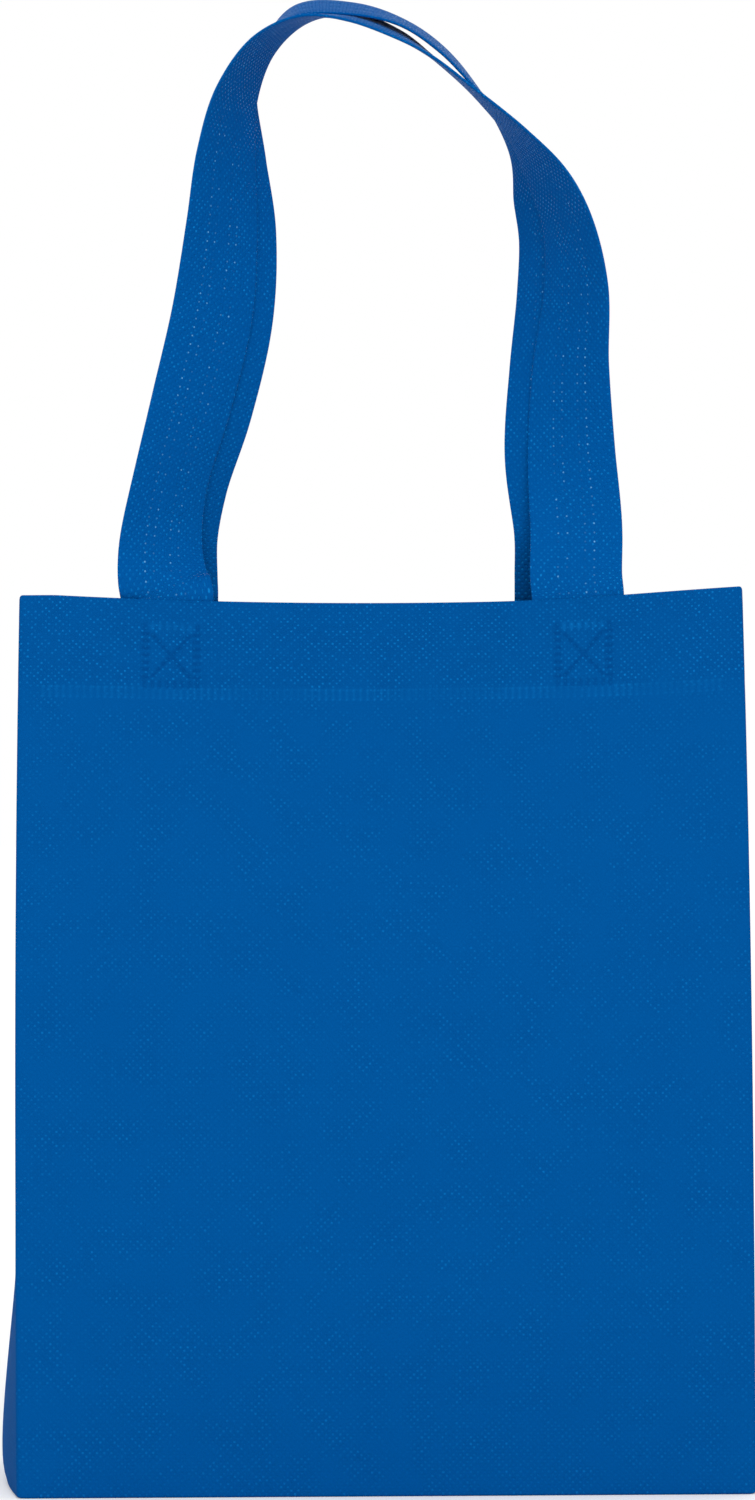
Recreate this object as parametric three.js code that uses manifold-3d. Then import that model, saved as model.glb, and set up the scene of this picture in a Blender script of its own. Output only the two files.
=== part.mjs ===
// A gusseted tote bag folded from one web of non-woven fabric, with two flat carrying handles.
// Millimetres, +Z up. The front panel faces -Y and the origin is the centre of the base, on the floor.
// The bag stands as it does empty: boxy below, leaning in to a narrow mouth, gussets folded inwards.
import * as THREE from "three";
import { mergeVertices } from "three/addons/utils/BufferGeometryUtils.js";
import Module from "manifold-3d";

// Driving dimensions
const width = 203.2; // across the front panel, between its fold edges
const gussetDepth = 102; // of the side gusset, measured along the fabric
const height = 254; // of the front panel, measured along the fabric
const sheet = 0.5; // thickness of one layer of fabric
const hemHeight = 30.3; // the fabric folded in at the mouth
const hemGap = 0.1; // between the two layers of the hem
const seamBelow = 28.5; // from the top fold to the middle of the hem's welded seam
const seamWidth = 3.3;
const pressDepth = 0.2; // how deep a weld presses the fabric
const pressSlope = 0.4; // and how far its edges slope
const handleWidth = 26;
const handleThickness = 1.1; // the handle is a strip folded on itself
const frontHandle = { face: -1, leftInset: 41.6, rightInset: 46.2 }; // from the side folds to its ends' middles
const backHandle = { face: 1, leftInset: 42.4, rightInset: 50.6 };
const handleTail = 28; // the length of each end that is welded inside the hem
const exitLength = 2.5; // the handle goes on straight this far past the top fold
const clearance = 0.4; // between a handle and the fabric that it is welded to
const weldBelow = 16.9; // from the top fold to the middle of the boxed cross that welds a handle's end
const weldWidth = 16.8;
const weldHeight = 19.4;
const weldFrame = 2.3; // width of the box's lines
const weldCross = 1.5; // and of its cross

// How the bag stands
const mouthDepth = 24; // between the front and back panels at the top folds
const baseSlack = 4; // the folds round the base lie this much closer than the gusset is deep
const foldInside = 0.15; // inner radius where a panel turns into a gusset
const baseFoldInside = 0.3; // and where it turns into the base
const panelBow = 3; // how far the middle of a panel stands proud of its fold edges
const mouthSag = 2.8; // how far the top fold dips between its corners
const sagCentre = 5; // where it dips most, right of the middle
const sagFade = 4; // the power with which the dip fades downwards
const leftBulge = 6.7; // how far the foot of each gusset pops outwards
const rightBulge = 2.6;
const bulgeSkew = 0.44; // under 1, the bulge is fullest low down
const bulgeHeight = 61; // where the gusset stops popping out and starts to fold in
const foldStart = 45; // the gusset folds in gently from here
const foldFull = 120; // and holds all its slack in the fold from here

// How finely the fabric is divided
const foldSteps = 4; // round each vertical fold
const gussetSteps = 4; // across half a gusset
const creaseWidth = 1; // of the flattened fabric beside the middle fold of a gusset
const panelSteps = 14; // across a panel
const footSteps = 9; // up to the top of the bulge
const bellySteps = 13; // from there to the seam of the hem
const hemSteps = 4; // above the seam
const facetTolerance = 0.004; // facets flatter or shorter than this are merged where shapes are cut
const topFoldRise = 0.35; // of the rounded top fold above the edges of its two layers

const wasm = await Module();
wasm.setup();

const halfWidth = width / 2;
const halfGusset = gussetDepth / 2;
const hemThickness = 2 * sheet + hemGap;
const hemEdge = height - hemHeight;
const seamLow = height - seamBelow - seamWidth / 2;
const seamHigh = seamLow + seamWidth;
const foldRadius = hemThickness + foldInside;
const baseFoldRadius = sheet + baseFoldInside;

const mix = (from, to, share) => from + (to - from) * share;

function smoothstep(low, high, value) {
  const share = THREE.MathUtils.clamp((value - low) / (high - low), 0, 1);
  return share * share * (3 - 2 * share);
}

// Evenly spaced values after low, up to and including high.
function divide(low, high, steps) {
  return Array.from({ length: steps }, (_, index) => mix(low, high, (index + 1) / steps));
}

// The side profile of a panel: x is its distance from the middle of the bag, y its height. It leaves the
// base a little outwards, stays full to half its height, and leans in to the mouth.
const stance = new THREE.CubicBezierCurve(
  new THREE.Vector2(halfGusset - baseSlack / 2, 0),
  new THREE.Vector2(halfGusset + 4, 0.41 * height),
  new THREE.Vector2(halfGusset - 6, 0.67 * height),
  new THREE.Vector2(mouthDepth / 2, 0.981 * height),
);

// Depth and rise of a panel at a height along the fabric, moved inwards by a part of its wall.
function profileAt(along, inwards) {
  const share = along / height;
  const point = stance.getPointAt(share);
  const tangent = stance.getTangentAt(share);
  return { depth: point.x - inwards * tangent.y, rise: point.y + inwards * tangent.x };
}

// The angle by which a gusset turns inwards so that its fabric keeps its length between two folds.
function foldAngle(depth) {
  const reach = depth - foldRadius;
  const fabric = (angle) =>
    foldRadius * (angle + Math.PI / 2) + (reach - foldRadius * Math.sin(angle)) / Math.cos(angle);
  let low = 0;
  let high = 1.5;
  if (fabric(low) >= halfGusset) return 0;
  for (let step = 0; step < 40; step++) {
    const middle = (low + high) / 2;
    if (fabric(middle) < halfGusset) low = middle;
    else high = middle;
  }
  return low;
}

// A gusset's outward bulge at a height, for its middle.
function bulgeAt(rise, side) {
  if (rise >= bulgeHeight) return 0;
  const share = Math.pow(Math.max(rise, 0) / bulgeHeight, bulgeSkew);
  return (side < 0 ? leftBulge : rightBulge) * 4 * share * (1 - share);
}

// How far a point of the front or back panel dips at a height along the fabric.
function dip(x, along) {
  const share = THREE.MathUtils.clamp((x - sagCentre) / (halfWidth - sagCentre), -1, 1);
  return mouthSag * (1 - share * share) * Math.pow(along / height, sagFade);
}

// How far the panel stands proud of its fold edges.
function bow(x, along) {
  const share = x / halfWidth;
  return panelBow * (1 - share * share) * Math.sin((Math.PI * along) / height);
}

// A quarter of the wall's outline at one height, from the middle of the right gusset to the front panel.
// It is mirrored for the other three, and every point has the same place in each row.
function gussetOutline(along, inwards, side) {
  const outer = profileAt(along, 0);
  const { depth, rise } = profileAt(along, inwards);
  const angle = foldAngle(outer.depth) * smoothstep(foldStart, foldFull, outer.rise);
  const radius = foldRadius - inwards;
  const centre = new THREE.Vector2(halfWidth - foldRadius, radius - depth);
  const start = new THREE.Vector2(Math.cos(angle), Math.sin(angle)).multiplyScalar(radius).add(centre);
  const run = -start.y / Math.cos(angle);
  const middle = new THREE.Vector2(start.x - run * Math.sin(angle), 0);
  if (inwards > 0) {
    // The inside of a fold is blunt: it goes round the outside of the crease by its own thickness.
    middle.x += inwards / Math.cos(angle) - inwards;
  }
  const shoulder = start.clone().lerp(new THREE.Vector2(start.x - run * Math.sin(angle), 0), 1 - creaseWidth / run);
  const points = [middle];
  for (let step = 0; step < gussetSteps; step++) {
    points.push(shoulder.clone().lerp(start, step / gussetSteps));
  }
  for (let step = 0; step <= foldSteps; step++) {
    const turn = mix(angle, -Math.PI / 2, step / foldSteps);
    points.push(new THREE.Vector2(Math.cos(turn), Math.sin(turn)).multiplyScalar(radius).add(centre));
  }
  const bulge = bulgeAt(outer.rise, side);
  return points.map((point) => {
    const across = THREE.MathUtils.clamp(point.y / depth, -1, 1);
    return new THREE.Vector3(point.x + bulge * (1 - across * across), point.y, rise);
  });
}

// A point on the front (face -1) or back (face 1) panel, at x and a height along the fabric.
function panelPoint(face, x, along, inwards) {
  const { depth, rise } = profileAt(along, inwards);
  return new THREE.Vector3(x, face * (depth + bow(x, along)), rise - dip(x, along));
}

const flatWidth = width - 2 * foldRadius;
const panelColumns = divide(-flatWidth / 2, flatWidth / 2, panelSteps).slice(0, -1);

// The whole outline at one height, counter-clockwise seen from above, from the middle of the right gusset.
// The seam of the hem presses only the two panels, and fades out towards their folds.
function outline(along, inwards, pressed = 0) {
  const right = gussetOutline(along, inwards, 1);
  const left = gussetOutline(along, inwards, -1);
  const place = (point, signX, signY) =>
    new THREE.Vector3(signX * point.x, signY * point.y, point.z - dip(signX * point.x, along));
  const rightBack = right.map((point) => place(point, 1, -1));
  const leftBack = left.map((point) => place(point, -1, -1)).reverse();
  const leftFront = left.map((point) => place(point, -1, 1)).slice(1);
  const rightFront = right.map((point) => place(point, 1, 1)).reverse().slice(0, -1);
  const back = [...panelColumns].reverse().map((x) => panelPoint(1, x, along, inwards + pressed));
  const front = panelColumns.map((x) => panelPoint(-1, x, along, inwards + pressed));
  return [...rightBack, ...back, ...leftBack, ...leftFront, ...front, ...rightFront];
}

// Collects triangles and closes them into one surface, points at the same place being one point.
class Surface {
  constructor() {
    this.places = new Map();
    this.points = [];
    this.faces = [];
  }

  vertex(point) {
    const key = point.toArray().map((value) => Math.round(value * 1e4)).join(" ");
    if (!this.places.has(key)) {
      this.places.set(key, this.points.length);
      this.points.push(point);
    }
    return this.places.get(key);
  }

  triangle(a, b, c) {
    const corners = [a, b, c].map((point) => this.vertex(point));
    if (new Set(corners).size === 3) this.faces.push(...corners);
  }

  // Joins two rings of as many points; the second lies above the first, seen from outside.
  band(lower, upper) {
    lower.forEach((point, index) => {
      const next = (index + 1) % lower.length;
      this.triangle(point, lower[next], upper[next]);
      this.triangle(point, upper[next], upper[index]);
    });
  }

  // Fills a flat ring; up says which way its face points.
  cap(ring, up) {
    const flat = ring.map((point) => new THREE.Vector2(point.x, point.y));
    for (const [a, b, c] of THREE.ShapeUtils.triangulateShape(flat, [])) {
      if (up) this.triangle(ring[a], ring[b], ring[c]);
      else this.triangle(ring[a], ring[c], ring[b]);
    }
  }

  geometry() {
    const geometry = new THREE.BufferGeometry();
    const positions = this.points.flatMap((point) => point.toArray());
    geometry.setAttribute("position", new THREE.Float32BufferAttribute(positions, 3));
    geometry.setIndex(this.faces);
    geometry.computeVertexNormals();
    return geometry;
  }
}

// The base fold: the outline drawn in by the fold's radius where it meets the floor.
function baseRing(turn) {
  const inset = baseFoldRadius * (1 - Math.sin(turn));
  const rise = baseFoldRadius * (1 - Math.cos(turn));
  return outline(0, 0).map((point) => {
    const reach = Math.hypot(point.x, point.y);
    const x = point.x - Math.sign(point.x) * Math.min(inset, Math.abs(point.x));
    const y = point.y - Math.sign(point.y) * Math.min(inset, Math.abs(point.y));
    return reach > 0 ? new THREE.Vector3(x, y, rise) : point;
  });
}

function bagBody() {
  const skin = new Surface();
  const footRows = divide(0, bulgeHeight, footSteps);

  const outside = [baseRing(0), baseRing(Math.PI / 4)];
  const bellyRows = [...footRows, ...divide(bulgeHeight, seamLow, bellySteps)];
  outside.push(...[baseFoldRadius, ...bellyRows].map((row) => outline(row, 0)));
  outside.push(...[seamLow + pressSlope, seamHigh - pressSlope].map((row) => outline(row, 0, pressDepth)));
  outside.push(...[seamHigh, ...divide(seamHigh, height, hemSteps)].map((row) => outline(row, 0)));

  const inside = [outline(sheet, sheet).map((point) => point.setZ(sheet))]; // the base is one layer thick
  const innerRows = [...footRows, ...divide(bulgeHeight, hemEdge, bellySteps)];
  inside.push(...innerRows.map((row) => outline(row, sheet)));
  inside.push(...[hemEdge, ...divide(hemEdge, height, hemSteps)].map((row) => outline(row, hemThickness)));

  skin.cap(outside[0], false);
  outside.slice(1).forEach((ring, index) => skin.band(outside[index], ring));
  const fold = outline(height, hemThickness / 2).map((point) => point.setZ(point.z + topFoldRise));
  skin.band(outside.at(-1), fold);
  skin.band(fold, inside.at(-1));
  for (let row = inside.length - 1; row > 0; row--) skin.band(inside[row], inside[row - 1]);
  skin.cap(inside[0], true);
  const plates = [frontHandle, backHandle].flatMap((form) => endsOf(form).map((x) => weldPlates(form.face, x)));
  return cut(skin.geometry(), plates.flat());
}

function rectangle(path, across, high) {
  path.moveTo(-across / 2, -high / 2).lineTo(across / 2, -high / 2);
  return path.lineTo(across / 2, high / 2).lineTo(-across / 2, high / 2);
}

// The boxed cross that welds an end of a handle to the hem, as the plates that press it into the panel.
function weldPlates(face, x) {
  const inner = new THREE.Vector2(weldWidth - 2 * weldFrame, weldHeight - 2 * weldFrame);
  const frame = rectangle(new THREE.Shape(), weldWidth, weldHeight);
  frame.holes.push(rectangle(new THREE.Path(), inner.x, inner.y));
  const thickness = 2 * hemThickness;
  const box = new THREE.ExtrudeGeometry(frame, { depth: thickness, bevelEnabled: false });
  const cross = [inner.angle(), -inner.angle()].map((lean) =>
    new THREE.BoxGeometry(inner.length(), weldCross, thickness).translate(0, 0, thickness / 2).rotateZ(lean),
  );

  const middle = panelPoint(face, x, height - weldBelow, pressDepth);
  const upwards = panelPoint(face, x, height - weldBelow + 1, pressDepth).sub(middle).normalize();
  const sideways = panelPoint(face, x - face, height - weldBelow, pressDepth).sub(middle);
  const outwards = sideways.cross(upwards).normalize();
  const seat = new THREE.Matrix4().makeBasis(upwards.clone().cross(outwards), upwards, outwards);
  return [box, ...cross].map((plate) => plate.applyMatrix4(seat.setPosition(middle)));
}

// Cuts closed shapes out of a closed body.
function cut(body, tools) {
  const solid = tools.reduce((left, tool) => left.subtract(toSolid(tool)), toSolid(body));
  const { vertProperties, triVerts } = solid.simplify(facetTolerance).getMesh();
  const geometry = new THREE.BufferGeometry();
  geometry.setAttribute("position", new THREE.Float32BufferAttribute(vertProperties, 3));
  geometry.setIndex(new THREE.Uint32BufferAttribute(triVerts, 1));
  geometry.computeVertexNormals();
  return geometry;
}

function toSolid(geometry) {
  geometry.deleteAttribute("normal");
  geometry.deleteAttribute("uv");
  const { attributes, index } = mergeVertices(geometry);
  const triVerts = Uint32Array.from(index.array);
  return new wasm.Manifold(new wasm.Mesh({ numProp: 3, vertProperties: attributes.position.array, triVerts }));
}

// The free part of the front handle, from the left leg over the arch to the right leg: x as a share of the
// way from the middle of its ends to one of them, y, height above the mouth, twist in degrees from facing
// forwards to facing into the loop, and how the back handle lies against it: the gap behind or outside it,
// how far it has slipped towards the inside of the loop, and by how many degrees its twist leads.
const handleRoute = [
  { x: -1.016, y: -7.8, z: 5, twist: 8, gap: 14.1, slip: 3.6, lead: 0 },
  { x: -1.028, y: -5, z: 16, twist: 29, gap: 5.3, slip: 7.6, lead: 0 },
  { x: -0.983, y: -4, z: 33, twist: 38, gap: 1.1, slip: 8.6, lead: 0 },
  { x: -0.879, y: -3, z: 55, twist: 32, gap: 0.7, slip: 8.2, lead: 0 },
  { x: -0.775, y: -3, z: 80, twist: 31, gap: 0.7, slip: 7.8, lead: 0 },
  { x: -0.726, y: -3.5, z: 104, twist: 41, gap: 0.7, slip: 8.5, lead: 0 },
  { x: -0.702, y: -3.5, z: 124, twist: 52, gap: 0.7, slip: 7, lead: 0 },
  { x: -0.65, y: -3.5, z: 141, twist: 65, gap: 1.1, slip: 6, lead: 2 },
  { x: -0.518, y: -4, z: 155, twist: 78, gap: 2.1, slip: 8, lead: 7 },
  { x: -0.338, y: -5, z: 162, twist: 89, gap: 3.1, slip: 9.5, lead: 12 },
  { x: -0.099, y: -5, z: 163.3, twist: 101, gap: 1.3, slip: 10, lead: 2 },
  { x: 0.127, y: -5, z: 158.3, twist: 101, gap: 1.9, slip: 10, lead: -4 },
  { x: 0.317, y: -5.5, z: 151, twist: 95, gap: 1.9, slip: 11, lead: 0 },
  { x: 0.529, y: -6.5, z: 141, twist: 91, gap: 0.9, slip: 13, lead: 0 },
  { x: 0.73, y: -7, z: 128.5, twist: 82, gap: 0.9, slip: 15, lead: -4 },
  { x: 0.865, y: -6.5, z: 117, twist: 68, gap: 1.1, slip: 14, lead: -8 },
  { x: 0.962, y: -6.5, z: 104, twist: 60, gap: 1.1, slip: 14.5, lead: -8 },
  { x: 1.003, y: -5.5, z: 86, twist: 48, gap: 1.1, slip: 13, lead: -3 },
  { x: 0.976, y: -4, z: 64, twist: 36, gap: 0.9, slip: 9.5, lead: 0 },
  { x: 0.976, y: -3.5, z: 40, twist: 20, gap: 1.5, slip: 7.8, lead: 0 },
  { x: 0.997, y: -5, z: 18, twist: 4, gap: 7.5, slip: 5, lead: 0 },
  { x: 0.993, y: -7.8, z: 5, twist: 0, gap: 14.5, slip: 4, lead: 0 },
];

// The direction out of the loop in its own plane, and the direction that the strip faces, at a tangent.
function handleFrame(tangent, twist) {
  const outwards = new THREE.Vector3(-tangent.z, 0, tangent.x).normalize();
  const forwards = new THREE.Vector3().crossVectors(tangent, outwards);
  const across = outwards.clone().multiplyScalar(Math.cos(twist)).addScaledVector(forwards, Math.sin(twist));
  const facing = forwards.clone().multiplyScalar(Math.cos(twist)).addScaledVector(outwards, -Math.sin(twist));
  return { across, facing };
}

// A handle's two ends lie inside the hem of its panel, and go on straight a little past the top fold.
function handleEnd(face, x) {
  const seat = hemThickness + clearance + handleThickness / 2;
  const rows = [height - handleTail, height - handleTail / 2, height];
  const places = rows.map((row) => panelPoint(face, x, row, seat));
  const slope = stance.getTangentAt(1);
  const clear = new THREE.Vector3(0, face * slope.x, slope.y).multiplyScalar(exitLength);
  places.push(places.at(-1).clone().add(clear));
  return places.map((place) => ({ place, twist: 0 }));
}

const endsOf = ({ leftInset, rightInset }) => [leftInset - halfWidth, halfWidth - rightInset];

// The stations of the front handle between its ends.
function frontStations() {
  const mouth = profileAt(height, 0).rise;
  const [left, right] = endsOf(frontHandle);
  return handleRoute.map(({ x, y, z, twist, ...against }) => ({
    place: new THREE.Vector3(mix(left, right, (x + 1) / 2), y, mouth + z),
    twist: THREE.MathUtils.degToRad(twist),
    ...against,
  }));
}

// The back handle lies against the front one, behind and outside it.
function backStations() {
  const front = frontStations();
  const path = new THREE.CatmullRomCurve3(front.map((station) => station.place));
  return front.map(({ place, twist, gap, slip, lead }, index) => {
    const inLoop = path.getTangent(index / (front.length - 1)).setY(0).normalize();
    const { across, facing } = handleFrame(inLoop, twist);
    const behind = place.clone().addScaledVector(facing, -handleThickness - gap);
    return { place: behind.addScaledVector(across, -slip), twist: twist + THREE.MathUtils.degToRad(lead) };
  });
}

function handle(form, stations) {
  const [left, right] = endsOf(form);
  return ribbon([...handleEnd(form.face, left), ...stations, ...handleEnd(form.face, right).reverse()]);
}

// A flat strip with rounded edges that follows the stations, turned by their twist.
function ribbon(stations) {
  const path = new THREE.CatmullRomCurve3(stations.map((station) => station.place), false, "centripetal");
  const stepsPerSpan = 4;
  const last = stations.length - 1;
  const edge = handleWidth / 2;
  const flat = handleThickness / 2;
  const section = [
    [edge - flat / 2, -flat],
    [edge, 0],
    [edge - flat / 2, flat],
    [0, flat],
    [flat / 2 - edge, flat],
    [-edge, 0],
    [flat / 2 - edge, -flat],
    [0, -flat],
  ];
  const rings = [];
  for (let step = 0; step <= last * stepsPerSpan; step++) {
    const at = step / (last * stepsPerSpan);
    const from = Math.min(Math.floor(step / stepsPerSpan), last - 1);
    const share = smoothstep(0, 1, step / stepsPerSpan - from);
    const twist = mix(stations[from].twist, stations[from + 1].twist, share);
    const { across, facing } = handleFrame(path.getTangent(at), twist);
    const centre = path.getPoint(at);
    rings.push(
      section.map(([x, y]) => centre.clone().addScaledVector(across, x).addScaledVector(facing, y)),
    );
  }
  const skin = new Surface();
  rings.slice(1).forEach((ring, index) => skin.band(rings[index], ring));
  const [first, end] = [rings[0], rings.at(-1)];
  for (let corner = 1; corner < section.length - 1; corner++) {
    skin.triangle(first[0], first[corner + 1], first[corner]);
    skin.triangle(end[0], end[corner], end[corner + 1]);
  }
  return skin.geometry();
}

function fabric(colour) {
  return new THREE.MeshStandardMaterial({ color: colour, roughness: 0.85, metalness: 0 });
}

function piece(name, geometry, material) {
  const mesh = new THREE.Mesh(geometry, material);
  mesh.name = name;
  return mesh;
}

const bag = new THREE.Group();
bag.name = "tote_bag";
bag.add(
  piece("bag_body", bagBody(), fabric("#0154a0")),
  piece("front_handle", handle(frontHandle, frontStations()), fabric("#02509a")),
  piece("back_handle", handle(backHandle, backStations()), fabric("#02509a")),
);

export default bag;
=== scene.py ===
"""A small gusseted tote bag of thin blue non-woven fabric, standing empty with its two handles up.

Lengths are metres, with +Z up. The front panel faces -Y, and the origin is the middle of the base.
"""

from __future__ import annotations

import logging
import math
from dataclasses import dataclass, replace
from enum import Enum

import bmesh
import bpy
import numpy as np
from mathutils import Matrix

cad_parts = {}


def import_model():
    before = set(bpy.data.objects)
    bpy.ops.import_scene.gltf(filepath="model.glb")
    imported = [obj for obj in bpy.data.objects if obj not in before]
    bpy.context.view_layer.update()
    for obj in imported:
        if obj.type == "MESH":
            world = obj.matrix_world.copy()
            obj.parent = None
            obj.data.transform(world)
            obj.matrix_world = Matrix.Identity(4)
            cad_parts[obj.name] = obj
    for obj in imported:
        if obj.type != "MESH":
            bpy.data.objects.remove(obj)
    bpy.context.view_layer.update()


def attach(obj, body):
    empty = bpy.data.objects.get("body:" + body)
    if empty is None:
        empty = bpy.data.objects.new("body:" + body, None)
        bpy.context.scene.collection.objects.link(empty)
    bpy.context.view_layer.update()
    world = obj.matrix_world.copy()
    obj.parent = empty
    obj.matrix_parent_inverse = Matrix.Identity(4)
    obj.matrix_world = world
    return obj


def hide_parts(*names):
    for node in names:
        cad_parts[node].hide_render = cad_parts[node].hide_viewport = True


LOG = logging.getLogger("tote_bag")
MM = 0.001
MERGE_DISTANCE = 1e-6
PAINTED_LIGHT = "painted_light"  # the attribute that holds the welds' painted light: a painted highlight above 0, a painted shade below 0
LATTICE_GLEAM = "lattice_gleam"  # the attribute that says how much the fabric's lattice, its relief and its dots' painted highlight stand out; on the straps' feet this is painted light
FABRIC_UV = "fabric"  # the map that follows the fabric, in metres
STRAP_UV = "strap"  # a strap's own map: across it from its middle line, and along it
SPOT_PITCH = 2.5 * MM  # between the weld spots along a strap
SPOT_ROWS = (2.5 * MM, 5.1 * MM)  # on both sides of a strap's middle line

Array = np.ndarray
BMesh = bmesh.types.BMesh
Socket = bpy.types.NodeSocket
Colour = tuple[float, float, float, float]
Ramp = tuple[float, float]  # where a smooth rise from 0 to 1 starts and ends


class Face(Enum):
    """The two large faces of the bag; the value is the sign of their Y."""

    FRONT = -1
    BACK = 1


def linear(*channels: float) -> Colour:
    """Turns a colour seen on a screen into the linear colour that a shader takes.

    Args:
        channels: Red, green and blue, from 0 to 255.

    Returns:
        The linear colour, with an alpha of 1.
    """
    shares = [channel / 255 for channel in channels]
    red, green, blue = (c / 12.92 if c <= 0.04045 else ((c + 0.055) / 1.055) ** 2.4 for c in shares)
    return red, green, blue, 1.0


def smoothstep(low: float, high: float, value: Array) -> Array:
    """Rises smoothly from 0 at low to 1 at high."""
    share = np.clip((value - low) / (high - low), 0, 1)
    return share * share * (3 - 2 * share)


@dataclass(frozen=True)
class BagForm:
    """The cut of the fabric and the way that the empty bag stands."""

    width: float = 203.2 * MM  # of the front panel, between its fold edges
    gusset_depth: float = 102 * MM  # along the fabric
    height: float = 254 * MM  # of the front panel, along the fabric
    sheet: float = 0.5 * MM
    hem_seam: float = 28.5 * MM  # from the top fold down to the middle of the seam
    hem_margin: float = 1.8 * MM  # the hem's cut edge lies this much below its seam
    hem_gap: float = 0.1 * MM
    mouth_depth: float = 24 * MM
    base_slack: float = 4 * MM
    fold_inside: float = 0.15 * MM
    base_fold: float = 0.9 * MM
    panel_bow: float = 3 * MM
    mouth_sag: float = 2.8 * MM
    sag_centre: float = 5 * MM
    sag_fade: float = 4
    right_lift: float = 1.3 * MM  # the top fold stands this much higher at its right end
    lift_start: float = 30 * MM
    lift_end: float = 100 * MM
    left_bulge: float = 6.8 * MM
    right_bulge: float = 2.4 * MM
    bulge_skew: float = 0.36
    bulge_height: float = 78 * MM
    bulge_foot: float = 1.5 * MM  # a bulge starts as if the base were this much lower
    bulge_roundness: float = 1.5
    fold_start: float = 45 * MM
    fold_full: float = 120 * MM
    foot_round: float = 0.5 * MM  # where the base meets the side folds
    foot_reach: float = 9 * MM
    tip_round: float = 1 * MM  # where the top fold meets them
    tip_reach: float = 5 * MM

    @property
    def half_width(self) -> float:
        """Half the width of the front panel."""
        return self.width / 2

    @property
    def half_gusset(self) -> float:
        """Half the depth of a gusset, along the fabric."""
        return self.gusset_depth / 2

    @property
    def hem_thickness(self) -> float:
        """Thickness of the two layers of the hem."""
        return 2 * self.sheet + self.hem_gap

    @property
    def fold_radius(self) -> float:
        """Outer radius where a panel turns into a gusset."""
        return self.hem_thickness + self.fold_inside

    @property
    def flat_width(self) -> float:
        """Width of a panel between the rounds of its side folds."""
        return self.width - 2 * self.fold_radius

    @property
    def around(self) -> float:
        """Length of the fabric once round the bag."""
        return 2 * self.flat_width + 4 * self.half_gusset

    @property
    def seam_along(self) -> float:
        """Height of the hem's seam along the fabric."""
        return self.height - self.hem_seam


class SideProfile:
    """The side profile of a panel, by distance along the fabric from the base."""

    SAMPLES = 2001
    BISECTIONS = 40
    MOST_ANGLE = 1.5
    BELLY_OUT, BELLY_HEIGHT = 4 * MM, 0.41  # the curve's second control point
    CHEST_IN, CHEST_HEIGHT = 6 * MM, 0.67  # and its third one
    MOUTH_HEIGHT = 0.981

    def __init__(self, form: BagForm) -> None:
        """Works out the profile's points, its slope and how far the gusset folds in.

        Args:
            form: The bag's sizes.
        """
        self.form = form
        half = form.half_gusset
        controls = np.array(
            [
                (half - form.base_slack / 2, 0),
                (half + self.BELLY_OUT, self.BELLY_HEIGHT * form.height),
                (half - self.CHEST_IN, self.CHEST_HEIGHT * form.height),
                (form.mouth_depth / 2, self.MOUTH_HEIGHT * form.height),
            ]
        )
        t = np.linspace(0, 1, self.SAMPLES)[:, None]
        weights = np.hstack([(1 - t) ** 3, 3 * t * (1 - t) ** 2, 3 * t * t * (1 - t), t**3])
        self.points = weights @ controls
        steps = np.linalg.norm(np.diff(self.points, axis=0), axis=1)
        lengths = np.concatenate([[0], np.cumsum(steps)])
        self.along = lengths / lengths[-1] * form.height
        slope = np.gradient(self.points, axis=0)
        self.slope = slope / np.linalg.norm(slope, axis=1)[:, None]
        self.angles = self._fold_angles()

    def _fold_angles(self) -> Array:
        """Finds the angle by which the gusset turns inwards so that its fabric keeps its length."""
        radius = self.form.fold_radius
        reach = self.points[:, 0] - radius
        low = np.zeros(self.SAMPLES)
        high = np.full(self.SAMPLES, self.MOST_ANGLE)
        for _ in range(self.BISECTIONS):
            middle = (low + high) / 2
            fabric = radius * (middle + math.pi / 2) + (reach - radius * np.sin(middle)) / np.cos(middle)
            short = fabric < self.form.half_gusset
            low = np.where(short, middle, low)
            high = np.where(short, high, middle)
        return low * smoothstep(self.form.fold_start, self.form.fold_full, self.points[:, 1])

    def at(self, along: Array, inwards: Array) -> tuple[Array, Array]:
        """Finds a point of the profile.

        Args:
            along: Distance up the fabric; past the top fold the profile goes on straight.
            inwards: Distance from the outer face into the wall.

        Returns:
            The depth from the middle of the bag, and the height.
        """
        inside = np.clip(along, 0, self.form.height)
        past = along - inside
        depth, rise = (np.interp(inside, self.along, self.points[:, k]) for k in (0, 1))
        out, up = (np.interp(inside, self.along, self.slope[:, k]) for k in (0, 1))
        return depth + past * out - inwards * up, rise + past * up + inwards * out

    def angle(self, along: Array) -> Array:
        """The gusset's inward angle at a distance along the fabric."""
        return np.interp(along, self.along, self.angles)


@dataclass(frozen=True)
class Swell:
    """A soft hollow or crown of a panel, in millimetres, where the fabric remembers how it was packed."""

    x: float
    along: float
    reach_x: float
    reach_along: float
    rise: float  # outwards, or inwards where it is negative
    lean: float = 0.0  # degrees that it is turned, anticlockwise seen from outside

    def at(self, x: Array, along: Array) -> Array:
        """How far the swell moves each point outwards."""
        turn = math.radians(self.lean)
        across = (x - self.x * MM) * math.cos(turn) + (along - self.along * MM) * math.sin(turn)
        up = (along - self.along * MM) * math.cos(turn) - (x - self.x * MM) * math.sin(turn)
        square = (across / (self.reach_x * MM)) ** 2 + (up / (self.reach_along * MM)) ** 2
        return self.rise * MM * np.exp(-square / 2)


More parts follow.
